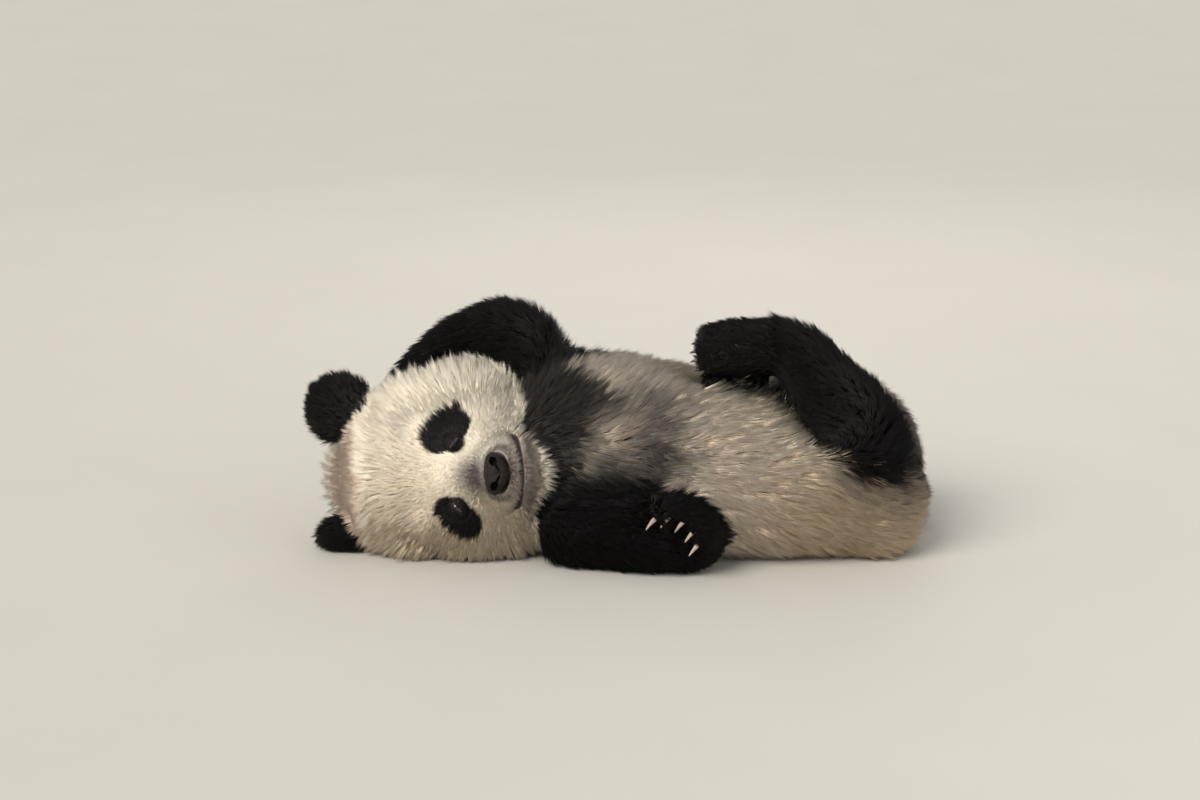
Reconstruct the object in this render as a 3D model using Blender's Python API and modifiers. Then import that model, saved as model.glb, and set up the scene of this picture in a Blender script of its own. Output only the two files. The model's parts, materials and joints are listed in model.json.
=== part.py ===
"""A giant panda cub dozing on its right side, life size, as solids that reach the tips of its coat.

X runs from the crown of the head to the rump, Y from the belly to the back, and Z up from the
floor that the cub lies on. Every body part is a solid of its own, parted from its neighbours by a
gap too thin to see. The whole is centred on the floor at the end.
"""

import math

import bmesh
import bpy
from mathutils import Matrix, Vector

# Driving dimensions, in metres unless the name says otherwise.
GAP = 0.0004  # between neighbouring solids
SAW_REACH = 1.2  # how far a parting cut reaches, past the ends of any piece
CUTTER_DETAIL = 0.12  # the share of a ball's triangles that a cutter keeps
FINE_VOXEL = 0.005
COARSE_VOXEL = 0.007

HEAD_CENTRE = Vector((-0.2107, 0.020, 0.114))  # on the head's middle plane, level with the eyes
HEAD_TURN = math.radians(15)  # the face looks up by this much from level
HEAD_TILT = math.radians(3)  # the crown sinks by this much towards the floor
HEAD_TRIANGLES = 1250

EAR_RADIUS = 0.049
EAR_THICKNESS = 0.042
EAR_TRIANGLES = 120

# Each ear: its name, its middle on the head, how far its rim leans out, and how much it is squashed.
EARS = (
    ("ear_left", (-0.099, 0.150, -0.010), math.radians(12), 1.05),
    ("ear_right", (0.076, 0.144, -0.026), math.radians(38), 0.70),
)

SIDES = (-1.0, 1.0)  # left and right on the head
HOLLOW_RADIUS = 0.0165
EYE_RADIUS = 0.0115
EYE_SIDE = 0.045
EYE_DROP = -0.011
EYE_FORWARD = 0.076

NOSE_WIDTH = 0.060
NOSE_HEIGHT = 0.032
NOSE_DEPTH = 0.034

TRUNK_SIDES = 20
TRUNK_SQUARENESS = 2.4  # 2 is a plain ellipse; the weight of the body squares its section a little
TRUNK_TRIANGLES = 1000

# One row for each section of the trunk, from the nape to the rump: its place along X, its centre
# in Y and Z, and its half depth from back to belly and half width from flank to flank.
TRUNK_SECTIONS = (
    (-0.150, 0.055, 0.125, 0.080, 0.095),
    (-0.095, 0.065, 0.132, 0.115, 0.125),
    (-0.035, 0.070, 0.137, 0.138, 0.140),
    (0.030, 0.065, 0.135, 0.146, 0.140),
    (0.100, 0.062, 0.127, 0.155, 0.133),
    (0.170, 0.062, 0.121, 0.160, 0.126),
    (0.250, 0.065, 0.118, 0.163, 0.123),
    (0.330, 0.070, 0.115, 0.155, 0.121),
    (0.390, 0.075, 0.107, 0.130, 0.113),
    (0.435, 0.080, 0.098, 0.098, 0.098),
    (0.458, 0.080, 0.092, 0.050, 0.055),
)
TRUNK_CUTS = {"shoulders": -0.075, "belly": 0.050, "rump": 0.290}  # where each starts along X

TAIL_CENTRE = (0.428, 0.150, 0.025)
TAIL_RADII = (0.052, 0.036, 0.030)
TAIL_SWING = math.radians(35)  # away from the belly side

LEG_TRIANGLES = 360

# Each leg's centre line from its root to its toes: a point and the leg's radius there.
FORELEG_LEFT = (
    ((-0.052, 0.090, 0.165), 0.066),
    ((-0.090, 0.110, 0.235), 0.060),
    ((-0.122, 0.135, 0.281), 0.058),
    ((-0.182, 0.170, 0.264), 0.056),
    ((-0.247, 0.200, 0.212), 0.051),
    ((-0.285, 0.212, 0.165), 0.047),
)
FORELEG_RIGHT = (
    ((0.010, -0.016, 0.116), 0.058),
    ((-0.050, -0.020, 0.068), 0.056),
    ((0.008, -0.042, 0.060), 0.061),
    ((0.062, -0.057, 0.061), 0.062),
    ((0.100, -0.068, 0.061), 0.057),
)
HINDLEG_LEFT = (
    ((0.340, 0.120, 0.125), 0.085),
    ((0.285, 0.210, 0.112), 0.074),
    ((0.240, 0.262, 0.086), 0.062),
    ((0.285, 0.298, 0.058), 0.054),
    ((0.340, 0.305, 0.043), 0.047),
    ((0.380, 0.315, 0.038), 0.043),
)
HINDLEG_RIGHT = (
    ((0.362, 0.045, 0.100), 0.082),
    ((0.360, -0.012, 0.165), 0.074),
    ((0.345, -0.040, 0.212), 0.063),
    ((0.305, -0.018, 0.262), 0.052),
    ((0.262, 0.020, 0.294), 0.046),
    ((0.212, 0.032, 0.292), 0.044),
)
# Each leg's path, and which point of it is the elbow or the knee.
LEGS = {
    "foreleg_left": (FORELEG_LEFT, 2),
    "foreleg_right": (FORELEG_RIGHT, 1),
    "hindleg_left": (HINDLEG_LEFT, 2),
    "hindleg_right": (HINDLEG_RIGHT, 2),
}
LEG_PIECES = {
    "foreleg": ("upper_arm", "forearm", "forepaw"),
    "hindleg": ("thigh", "shank", "hindfoot"),
}
CURLED_LEG = "foreleg_right"

# Each foot: its middle, half sizes across, along and through it, the way its toes point, and the
# way its back faces.
FEET = {
    "foreleg_left": (
        (-0.300, 0.216, 0.145), (0.050, 0.050, 0.036), (-0.55, 0.10, -0.83), (-0.25, 0.95, 0.20)
    ),
    "foreleg_right": (
        (0.118, -0.076, 0.061), (0.060, 0.062, 0.042), (0.97, 0.00, 0.25), (0.00, 1.00, 0.00)
    ),
    "hindleg_left": (
        (0.385, 0.315, 0.038), (0.044, 0.056, 0.040), (0.93, 0.30, -0.03), (0.00, 0.10, 0.99)
    ),
    "hindleg_right": (
        (0.192, 0.036, 0.293), (0.046, 0.058, 0.037), (-0.98, 0.10, -0.02), (-0.10, -0.55, 0.83)
    ),
}
TOE_RADIUS = 0.0165
TOE_SPREAD = 0.034  # from the middle toe to an outer one
TOE_REACH = 0.046  # from the foot's middle to the tip of its middle toe

# The near forepaw's toes are curled over its palm, which faces the belly side, in an arc.
CURL_CENTRE = Vector((0.098, 0.0, 0.060))
CURL_RADIUS = 0.047
CURL_FIRST = math.radians(112)
CURL_STEP = math.radians(-27)
CURL_FRONT = -0.124
CURL_WAY = Vector((-0.72, -0.22, -0.66))

CLAW_LENGTH = {"foreleg": 0.019, "hindleg": 0.013}
CLAW_RADIUS = 0.0042

WHITE_FUR = (0.78, 0.72, 0.60)
BLACK_FUR = (0.022, 0.018, 0.018)
EYE_BROWN = (0.03, 0.015, 0.01)
NOSE_BLACK = (0.03, 0.024, 0.024)
CLAW_HORN = (0.55, 0.48, 0.40)


# ---------------------------------------------------------------- scene and helpers


def clear_scene():
    for obj in list(bpy.data.objects):
        bpy.data.objects.remove(obj, do_unlink=True)


def collection(name):
    made = bpy.data.collections.new(name)
    bpy.context.scene.collection.children.link(made)
    return made


def material(name, colour, roughness):
    made = bpy.data.materials.new(name)
    made.use_nodes = True
    made.diffuse_color = (*colour, 1.0)
    shader = made.node_tree.nodes["Principled BSDF"]
    shader.inputs["Base Color"].default_value = (*colour, 1.0)
    shader.inputs["Roughness"].default_value = roughness
    shader.inputs["Metallic"].default_value = 0.0
    return made


def bake(obj):
    """Replaces an object's data with the plain mesh that its modifiers or its curve give."""
    graph = bpy.context.evaluated_depsgraph_get()
    mesh = bpy.data.meshes.new_from_object(obj.evaluated_get(graph))
    obj.modifiers.clear()
    obj.data = mesh
    return obj


def mesh_object(name, mesh):
    obj = bpy.data.objects.new(name, mesh)
    bpy.context.scene.collection.objects.link(obj)
    return obj


def ball(centre, radii, axes=None):
    """A closed ellipsoid; its radii run along the columns of axes, or along X, Y and Z."""
    bpy.ops.mesh.primitive_ico_sphere_add(subdivisions=4, radius=1.0)
    obj = bpy.context.object
    turn = (axes or Matrix.Identity(3)) @ Matrix.Diagonal(Vector(radii))
    obj.data.transform(Matrix.Translation(Vector(centre)) @ turn.to_4x4())
    return obj


def tube(path):
    """A closed tube along a smooth curve through the points of path, with its own radius at each."""
    curve = bpy.data.curves.new("tube", "CURVE")
    curve.dimensions = "3D"
    curve.bevel_depth = 1.0
    curve.bevel_resolution = 6
    curve.resolution_u = 8
    curve.use_fill_caps = True
    spline = curve.splines.new("BEZIER")
    spline.bezier_points.add(len(path) - 1)
    for knot, (place, radius) in zip(spline.bezier_points, path):
        knot.co = place
        knot.radius = radius
        knot.handle_left_type = knot.handle_right_type = "AUTO"
    line = mesh_object("tube_line", curve)
    graph = bpy.context.evaluated_depsgraph_get()
    solid = mesh_object("tube", bpy.data.meshes.new_from_object(line.evaluated_get(graph)))
    bpy.data.objects.remove(line)
    shape = bmesh.new()
    shape.from_mesh(solid.data)
    bmesh.ops.remove_doubles(shape, verts=shape.verts, dist=0.0001)
    shape.to_mesh(solid.data)
    shape.free()
    return solid


def fuse(name, shapes, voxel, smoothing, triangles):
    """Overlapping closed shapes melted into one smooth skin of about so many triangles."""
    bpy.ops.object.select_all(action="DESELECT")
    for shape in shapes:
        shape.select_set(True)
    bpy.context.view_layer.objects.active = shapes[0]
    if len(shapes) > 1:
        bpy.ops.object.join()
    obj = shapes[0]
    obj.name = name
    obj.data.name = name
    remesh = obj.modifiers.new("melt", "REMESH")
    remesh.mode = "VOXEL"
    remesh.voxel_size = voxel
    smooth = obj.modifiers.new("smooth", "SMOOTH")
    smooth.factor = 0.5
    smooth.iterations = smoothing
    bake(obj)
    thin = obj.modifiers.new("thin", "DECIMATE")
    faces = sum(len(face.vertices) - 2 for face in obj.data.polygons)
    thin.ratio = min(1.0, triangles / faces)
    return bake(obj)


def grown(obj):
    """A copy of a solid that is larger all round by the gap, to cut its neighbours with."""
    copy = mesh_object(obj.name + "_grown", obj.data.copy())
    swell = copy.modifiers.new("swell", "DISPLACE")
    swell.strength = GAP
    swell.mid_level = 0.0
    return bake(copy)


def islands(shape):
    """The faces of a bmesh, in one set for each piece that hangs together."""
    left = set(shape.faces)
    found = []
    while left:
        stack = [left.pop()]
        piece = set(stack)
        while stack:
            for edge in stack.pop().edges:
                fresh = {face for face in edge.link_faces if face in left}
                left -= fresh
                piece |= fresh
                stack.extend(fresh)
        found.append(piece)
    return found


def keep_largest(obj):
    """Drops the crumbs that a cut left beside the main piece, and leaves plain triangles."""
    shape = bmesh.new()
    shape.from_mesh(obj.data)
    pieces = sorted(islands(shape), key=lambda piece: sum(face.calc_area() for face in piece))
    crumbs = [face for piece in pieces[:-1] for face in piece]
    bmesh.ops.delete(shape, geom=crumbs, context="FACES")
    bmesh.ops.triangulate(shape, faces=shape.faces)
    shape.to_mesh(obj.data)
    shape.free()


def carve(obj, cutter, operation="DIFFERENCE"):
    """Cuts obj with a solid, and keeps the largest piece that is left."""
    cut = obj.modifiers.new("carve", "BOOLEAN")
    cut.operation = operation
    cut.solver = "EXACT"
    cut.object = cutter
    bake(obj)
    keep_largest(obj)


def carve_round(obj, neighbours):
    """Cuts obj clear of each neighbour by the gap."""
    for neighbour in neighbours:
        cutter = grown(neighbour)
        carve(obj, cutter)
        bpy.data.objects.remove(cutter)


def set_on_floor(obj):
    """Cuts off whatever would press into the floor, which leaves the flat that obj rests on."""
    bpy.ops.mesh.primitive_cube_add(size=2.0, location=(0.0, 0.0, -1.0))
    floor = bpy.context.object
    carve(obj, floor)
    bpy.data.objects.remove(floor)


def saw(obj, place, normal, name):
    """Parts obj across normal by the gap; the piece ahead of the cut leaves as a new object."""
    normal = Vector(normal).normalized()
    turn = normal.to_track_quat("Z", "Y").to_matrix().to_4x4()
    halves = []
    for sign in (1.0, -1.0):
        bpy.ops.mesh.primitive_cube_add(size=SAW_REACH)
        block = bpy.context.object
        shift = Vector(place) + normal * sign * (SAW_REACH / 2 + GAP / 2)
        block.data.transform(Matrix.Translation(shift) @ turn)
        half = mesh_object(name, obj.data.copy())
        carve(half, block, "INTERSECT")
        bpy.data.objects.remove(block)
        halves.append(half)
    obj.data = halves[1].data
    bpy.data.objects.remove(halves[1])
    return halves[0]


# ---------------------------------------------------------------- head

FACE_FORWARD = Vector((0.0, -math.cos(HEAD_TURN), math.sin(HEAD_TURN)))
FACE_LEVEL_DOWN = Vector((0.0, -math.sin(HEAD_TURN), -math.cos(HEAD_TURN)))
FACE_UP = Vector((-math.cos(HEAD_TILT), 0.0, 0.0)) + FACE_LEVEL_DOWN * math.sin(HEAD_TILT)
FACE_RIGHT = FACE_FORWARD.cross(FACE_UP)
FACE_AXES = Matrix((FACE_RIGHT, FACE_UP, FACE_FORWARD)).transposed()


def on_head(right, up, forward):
    return HEAD_CENTRE + FACE_AXES @ Vector((right, up, forward))


def head_ball(centre, radii):
    return ball(on_head(*centre), radii, FACE_AXES)


def make_head():
    """Skull, ruff and muzzle. The ruff stands out on the upper cheek and is pressed on the lower."""
    shapes = [
        head_ball((0.000, 0.040, -0.025), (0.116, 0.122, 0.108)),  # cranium
        head_ball((0.000, 0.095, -0.065), (0.092, 0.088, 0.080)),  # crown, down to the nape
        head_ball((0.056, -0.030, -0.010), (0.066, 0.092, 0.086)),  # lower cheek
        head_ball((-0.058, -0.030, -0.010), (0.068, 0.094, 0.086)),  # upper cheek
        head_ball((-0.092, -0.018, -0.040), (0.070, 0.094, 0.082)),  # upper ruff
        head_ball((-0.074, 0.048, -0.040), (0.074, 0.070, 0.078)),  # fluff below the upper ear
        head_ball((0.044, -0.078, -0.008), (0.074, 0.060, 0.080)),  # lower jaw ruff
        head_ball((-0.048, -0.080, -0.014), (0.066, 0.058, 0.080)),  # upper jaw ruff
        head_ball((0.000, -0.016, 0.054), (0.050, 0.074, 0.036)),  # bridge of the nose
        head_ball((0.000, -0.078, 0.070), (0.056, 0.046, 0.062)),  # muzzle
        head_ball((0.000, -0.112, 0.056), (0.036, 0.027, 0.046)),  # chin
    ]
    for side in SIDES:
        shapes.append(head_ball((side * 0.052, 0.036, 0.048), (0.040, 0.034, 0.032)))  # brow
        shapes.append(head_ball((side * 0.026, -0.090, 0.084), (0.030, 0.030, 0.042)))  # lip pad
    return fuse("head", shapes, FINE_VOXEL, 5, HEAD_TRIANGLES)


def make_ear(name, centre, lean, squash):
    """A round furry flap with a shallow cup in its front; lean turns its rim outwards."""
    tip = on_head(*centre)
    side = math.copysign(1.0, centre[0])
    out = Matrix.Rotation(side * lean, 3, "Y")
    axes = FACE_AXES @ out
    flap = ball(tip, (EAR_RADIUS * squash, EAR_RADIUS, EAR_THICKNESS / 2), axes)
    ear = fuse(name, [flap], FINE_VOXEL, 2, EAR_TRIANGLES)
    reach = EAR_THICKNESS * 0.95
    cup = ball(
        tip + axes @ Vector((0.0, 0.004, reach)),
        (EAR_RADIUS * squash * 0.66, EAR_RADIUS * 0.62, EAR_THICKNESS * 0.72),
        axes,
    )
    coarse = cup.modifiers.new("coarse", "DECIMATE")
    coarse.ratio = CUTTER_DETAIL
    carve(ear, bake(cup))
    bpy.data.objects.remove(cup)
    return ear


def make_eye(side):
    centre = on_head(side * EYE_SIDE, EYE_DROP, EYE_FORWARD)
    bpy.ops.mesh.primitive_uv_sphere_add(segments=12, ring_count=8, radius=EYE_RADIUS)
    eye = bpy.context.object
    eye.name = "eye_right" if side > 0 else "eye_left"
    eye.data.transform(Matrix.Translation(centre))
    return eye


def make_nose():
    """The leather on the muzzle's end: broad above, narrow below."""
    shapes = [
        head_ball((0.0, -0.066, 0.123), (NOSE_WIDTH / 2, NOSE_HEIGHT * 0.44, NOSE_DEPTH / 2)),
        head_ball((0.0, -0.078, 0.125), (NOSE_WIDTH * 0.34, NOSE_HEIGHT * 0.40, NOSE_DEPTH / 2)),
    ]
    return fuse("nose", shapes, 0.0025, 3, 160)


# ---------------------------------------------------------------- trunk


def superellipse(angle, half_depth, half_width):
    """A point on a squarish oval, as its offsets in Y and Z."""
    power = 2.0 / TRUNK_SQUARENESS
    across = math.copysign(abs(math.cos(angle)) ** power, math.cos(angle))
    upward = math.copysign(abs(math.sin(angle)) ** power, math.sin(angle))
    return half_depth * across, half_width * upward


def make_trunk():
    """A loft through the trunk's sections, melted together with the tail."""
    shape = bmesh.new()
    rings = []
    for x, y, z, half_depth, half_width in TRUNK_SECTIONS:
        ring = []
        for step in range(TRUNK_SIDES):
            dy, dz = superellipse(step * math.tau / TRUNK_SIDES, half_depth, half_width)
            ring.append(shape.verts.new((x, y + dy, z + dz)))
        rings.append(ring)
    for before, after in zip(rings, rings[1:]):
        for step in range(TRUNK_SIDES):
            following = (step + 1) % TRUNK_SIDES
            shape.faces.new((before[step], before[following], after[following], after[step]))
    shape.faces.new(rings[0][::-1])
    shape.faces.new(rings[-1])
    bmesh.ops.recalc_face_normals(shape, faces=shape.faces)
    mesh = bpy.data.meshes.new("loft")
    shape.to_mesh(mesh)
    shape.free()
    loft = mesh_object("loft", mesh)
    soften = loft.modifiers.new("soften", "SUBSURF")
    soften.levels = soften.render_levels = 2
    bake(loft)
    shapes = [
        loft,
        ball((-0.030, 0.105, 0.185), (0.085, 0.090, 0.085)),  # upper shoulder
        ball((-0.020, 0.070, 0.080), (0.085, 0.095, 0.082)),  # lower shoulder
        ball((0.360, 0.125, 0.115), (0.095, 0.105, 0.108)),  # far buttock
        ball((0.378, 0.022, 0.078), (0.084, 0.090, 0.088)),  # near buttock
    ]
    return fuse("trunk", shapes, COARSE_VOXEL, 8, TRUNK_TRIANGLES)


def make_tail():
    """A short flat brush of a tail, laid along the floor behind the rump."""
    swing = Matrix.Rotation(TAIL_SWING, 3, "Z")
    return fuse("tail", [ball(TAIL_CENTRE, TAIL_RADII, swing)], FINE_VOXEL, 2, 160)


# ---------------------------------------------------------------- legs and feet


def foot_axes(leg):
    """Columns: across the foot, along it to the toes, and out of its back."""
    way, back = FEET[leg][2:]
    along = Vector(way).normalized()
    out = (Vector(back) - along * along.dot(Vector(back))).normalized()
    return Matrix((along.cross(out), along, out)).transposed()


def fanned_toes(leg):
    """(root, tip, claw direction) of five toes side by side at the front of a foot."""
    centre = Vector(FEET[leg][0])
    across, along, out = foot_axes(leg).transposed()
    toes = []
    for number in range(5):
        offset = (number - 2) / 2.0
        reach = TOE_REACH * (1.0 - 0.14 * offset * offset)
        root = centre + across * offset * TOE_SPREAD * 0.8
        tip = centre + across * offset * TOE_SPREAD + along * reach - out * 0.006
        toes.append((root, tip, along - out * 0.12))
    return toes


def curled_toes():
    """(root, tip, claw direction) of the near forepaw's five toes, folded over its palm."""
    toes = []
    for number in range(5):
        angle = CURL_FIRST + CURL_STEP * number
        spoke = Vector((math.cos(angle), 0.0, math.sin(angle)))
        root = CURL_CENTRE + spoke * (CURL_RADIUS + 0.012) + Vector((0.0, CURL_FRONT + 0.022, 0.0))
        tip = CURL_CENTRE + spoke * (CURL_RADIUS - 0.004) + Vector((0.0, CURL_FRONT, 0.0))
        toes.append((root, tip, CURL_WAY))
    return toes


def make_leg(name, path, toes):
    """A leg's tube, rounded at its root, with its foot and toes melted on."""
    centre, radii = FEET[name][:2]
    top, top_radius = path[0]
    shapes = [tube(path), ball(top, (top_radius,) * 3), ball(centre, radii, foot_axes(name))]
    for root, tip, _ in toes:
        shapes.append(tube(((root, TOE_RADIUS), (tip, TOE_RADIUS * 0.92))))
        shapes.append(ball(tip, (TOE_RADIUS * 0.92,) * 3))
    return fuse(name, shapes, FINE_VOXEL, 3, LEG_TRIANGLES)


def make_claw(name, tip, way, length):
    """A short horn that tapers to a point and bends down a little, rooted inside its toe."""
    way = way.normalized()
    droop = Vector((0.0, 0.0, -1.0))
    path = []
    for step in range(4):
        along = step / 3.0
        place = tip + way * (TOE_RADIUS * 0.55 + length * along)
        path.append((place + droop * length * 0.20 * along**2, CLAW_RADIUS * (1.0 - 0.8 * along)))
    claw = tube(path)
    claw.name = name
    thin = claw.modifiers.new("thin", "DECIMATE")
    thin.ratio = 0.033
    return bake(claw)


def way_through(path, joint):
    """The direction in which a leg passes through one of its joints."""
    before, here, after = (Vector(path[index][0]) for index in (joint - 1, joint, joint + 1))
    return (here - before).normalized() + (after - here).normalized()


# ---------------------------------------------------------------- assembly


def finish(obj, home, its_material):
    """Puts a finished solid in its collection, with its material and smooth shading."""
    for owner in list(obj.users_collection):
        owner.objects.unlink(obj)
    home.objects.link(obj)
    obj.data.materials.clear()
    obj.data.materials.append(its_material)
    obj.data.shade_smooth()
    obj.data.set_sharp_from_angle(angle=math.radians(40))


def centre_on_floor(pieces):
    """Moves every piece so that the whole stands over the origin, with its lowest point at zero."""
    corners = [vertex.co for obj in pieces for vertex in obj.data.vertices]
    low = Vector(min(corner[axis] for corner in corners) for axis in range(3))
    high = Vector(max(corner[axis] for corner in corners) for axis in range(3))
    middle = (low + high) / 2
    shift = Matrix.Translation((-middle.x, -middle.y, -low.z))
    for obj in pieces:
        obj.data.transform(shift)


def carve_eye_hollow(head, side):
    """A shallow bowl in the coat of the face, which leaves the eye bare."""
    centre = (side * EYE_SIDE, EYE_DROP, EYE_FORWARD + HOLLOW_RADIUS)
    hollow = head_ball(centre, (HOLLOW_RADIUS,) * 3)
    coarse = hollow.modifiers.new("coarse", "DECIMATE")
    coarse.ratio = CUTTER_DETAIL
    carve(head, bake(hollow))
    bpy.data.objects.remove(hollow)


def build_head():
    """The head, its ears, its eyes and its nose, each cut clear of the others."""
    head = make_head()
    eyes = [make_eye(side) for side in SIDES]
    nose = make_nose()
    ears = [make_ear(*ear) for ear in EARS]
    for side in SIDES:
        carve_eye_hollow(head, side)
    set_on_floor(head)
    carve_round(head, [nose, *eyes])
    for ear in ears:
        set_on_floor(ear)
        carve_round(ear, [head])
    return head, ears, eyes, nose


def build_leg(name, neighbours):
    """A leg cut clear of its neighbours and parted at its joints: its three pieces and its claws."""
    path, joint = LEGS[name]
    toes = curled_toes() if name == CURLED_LEG else fanned_toes(name)
    leg = make_leg(name, path, toes)
    set_on_floor(leg)
    carve_round(leg, neighbours)
    kind, side = name.split("_")
    claws = [
        make_claw(f"claw_{name}_{number}", tip, way, CLAW_LENGTH[kind])
        for number, (_, tip, way) in enumerate(toes, 1)
    ]
    carve_round(leg, claws)
    upper_name, lower_name, foot_name = (f"{piece}_{side}" for piece in LEG_PIECES[kind])
    before_foot, foot_joint = (Vector(place) for place, _ in path[-2:])
    foot = saw(leg, foot_joint, foot_joint - before_foot, foot_name)
    lower = saw(leg, path[joint][0], way_through(path, joint), lower_name)
    leg.name = upper_name
    return [leg, lower, foot], claws


def part_trunk(trunk):
    """Parts the trunk across its length, from the neck to the rump."""
    pieces = [trunk]
    trunk.name = "neck"
    for name, start in TRUNK_CUTS.items():
        pieces.append(saw(pieces[-1], (start, 0.0, 0.0), (1.0, 0.0, 0.0), name))
    return pieces


def main():
    clear_scene()
    panda = collection("giant_panda")
    white = material("white_fur", WHITE_FUR, 0.95)
    black = material("black_fur", BLACK_FUR, 0.9)
    brown = material("eye", EYE_BROWN, 0.12)
    leather = material("nose_leather", NOSE_BLACK, 0.45)
    horn = material("claw", CLAW_HORN, 0.4)

    head, ears, eyes, nose = build_head()
    trunk = make_trunk()
    set_on_floor(trunk)
    carve_round(trunk, [head])
    limbs = []
    claws = []
    for name in LEGS:
        pieces, own_claws = build_leg(name, [head, trunk, *ears])
        limbs += pieces
        claws += own_claws
    tail = make_tail()
    set_on_floor(tail)
    carve_round(tail, [trunk, *limbs])
    neck, shoulders, belly, rump = part_trunk(trunk)

    groups = (
        ([head, neck, belly, rump, tail], white),
        ([shoulders, *ears, *limbs], black),
        (eyes, brown),
        ([nose], leather),
        (claws, horn),
    )
    for pieces, piece_material in groups:
        for piece in pieces:
            finish(piece, panda, piece_material)
    centre_on_floor(list(panda.objects))


main()
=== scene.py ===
# %% [markdown]
# # A giant panda cub, dozing on its side
#
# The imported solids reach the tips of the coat. This lesson shrinks one skin inside them, gives the
# head its lids, nose and mouth, and then lays 373,000 small tufts over the skin along the lie of the
# hair.

# %% Load the frame
import json
import math

import bpy
import numpy as np
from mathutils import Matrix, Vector, noise
from mathutils.bvhtree import BVHTree
from mathutils.kdtree import KDTree

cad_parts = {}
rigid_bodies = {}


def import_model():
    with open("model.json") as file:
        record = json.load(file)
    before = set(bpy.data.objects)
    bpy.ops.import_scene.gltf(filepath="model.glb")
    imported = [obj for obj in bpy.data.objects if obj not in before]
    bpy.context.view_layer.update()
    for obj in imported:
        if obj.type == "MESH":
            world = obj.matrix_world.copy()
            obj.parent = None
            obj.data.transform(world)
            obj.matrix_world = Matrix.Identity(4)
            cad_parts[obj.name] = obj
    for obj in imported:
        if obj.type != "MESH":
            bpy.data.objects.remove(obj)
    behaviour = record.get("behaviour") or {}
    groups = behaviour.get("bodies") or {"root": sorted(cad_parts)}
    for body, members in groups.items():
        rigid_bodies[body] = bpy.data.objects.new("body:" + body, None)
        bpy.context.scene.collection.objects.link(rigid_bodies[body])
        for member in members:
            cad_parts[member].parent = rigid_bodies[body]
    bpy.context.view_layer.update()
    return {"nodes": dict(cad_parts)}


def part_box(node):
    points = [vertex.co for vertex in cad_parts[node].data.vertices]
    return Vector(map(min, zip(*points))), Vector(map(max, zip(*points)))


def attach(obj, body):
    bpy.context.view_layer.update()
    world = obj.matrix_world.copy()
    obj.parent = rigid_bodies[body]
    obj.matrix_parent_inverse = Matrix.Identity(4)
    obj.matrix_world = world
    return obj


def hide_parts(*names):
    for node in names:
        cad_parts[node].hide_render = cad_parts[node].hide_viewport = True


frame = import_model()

# %% [markdown]
# ## A few hands
#
# Every operator acts on whatever is selected, so each step begins by choosing one piece and nothing
# else. The places of a mesh's points are read into a number array, worked on, and written back.

# %% Choosing, reading and writing a piece
def deselect_all():
    if bpy.context.mode != "OBJECT":
        bpy.ops.object.mode_set(mode="OBJECT")
    bpy.ops.object.select_all(action="DESELECT")


def only(piece):
    deselect_all()
    piece.select_set(True)
    bpy.context.view_layer.objects.active = piece


def apply(piece, kind, **settings):
    """Adds one modifier to a piece and applies it."""
    only(piece)
    modifier = piece.modifiers.new(kind, kind)
    for name, value in settings.items():
        setattr(modifier, name, value)
    bpy.ops.object.modifier_apply(modifier=modifier.name)
    return piece


def read(rows, what, width, kind=np.float32):
    """So many numbers for each point, edge, face or corner."""
    numbers = np.empty(len(rows) * width, kind)
    rows.foreach_get(what, numbers)
    return numbers.reshape(-1, width)


def write(rows, what, numbers, kind=np.float32):
    rows.foreach_set(what, np.ascontiguousarray(numbers, kind).ravel())


def points_of(piece, what="co"):
    return read(piece.data.vertices, what, 3).astype(float)


def move_points(piece, places):
    write(piece.data.vertices, "co", places)
    piece.data.update()


def give(mesh, name, kind, values):
    """Stores one value for each point of a mesh, for the finishes to read."""
    made = mesh.attributes.new(name, kind, "POINT")
    write(made.data, "vector" if kind == "FLOAT_VECTOR" else "value", values)


def link_piece(name, data):
    piece = bpy.data.objects.new(name, data)
    bpy.context.scene.collection.objects.link(piece)
    return piece


def pick_points(piece, chosen=None):
    """Goes into edit mode with these points of a piece selected, or all of them."""
    only(piece)
    mesh = piece.data
    chosen = np.ones(len(mesh.vertices)) if chosen is None else chosen
    write(mesh.polygons, "select", np.zeros(len(mesh.polygons)), bool)
    write(mesh.edges, "select", np.zeros(len(mesh.edges)), bool)
    write(mesh.vertices, "select", chosen, bool)
    bpy.ops.object.mode_set(mode="EDIT")
    bpy.ops.mesh.select_mode(type="VERT")


def joined_copy(name, solids):
    """One piece made from copies of these solids, each merged along its facets' edges."""
    deselect_all()
    for solid in solids:
        link_piece(name, frame["nodes"][solid].data.copy()).select_set(True)
    piece = bpy.context.selected_objects[0]
    bpy.context.view_layer.objects.active = piece
    bpy.ops.object.join()
    piece.name = piece.data.name = name
    piece.data.materials.clear()
    pick_points(piece)
    bpy.ops.mesh.remove_doubles(threshold=0.00001)
    return piece


def finished(piece, slot, *solids):
    """Smooths a piece, sets it on the body and hides the solids it stands for."""
    only(piece)
    bpy.ops.object.shade_smooth()
    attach(piece, "root")
    if solids:
        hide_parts(*solids)
    return piece


# %% Numbers that repeat
def ramp(value, start, end):
    """0 at start and 1 at end, easing in and out between them."""
    share = np.clip((value - start) / (end - start), 0.0, 1.0)
    return share * share * (3.0 - 2.0 * share)


def bell(value, width):
    """1 where value is 0, and close to 0 beyond twice the width."""
    return np.exp(-((value / width) ** 2))


def length(vectors):
    return np.linalg.norm(vectors, axis=-1)


def unit(vectors):
    return vectors / np.maximum(length(vectors)[..., None], 1e-9)


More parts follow.
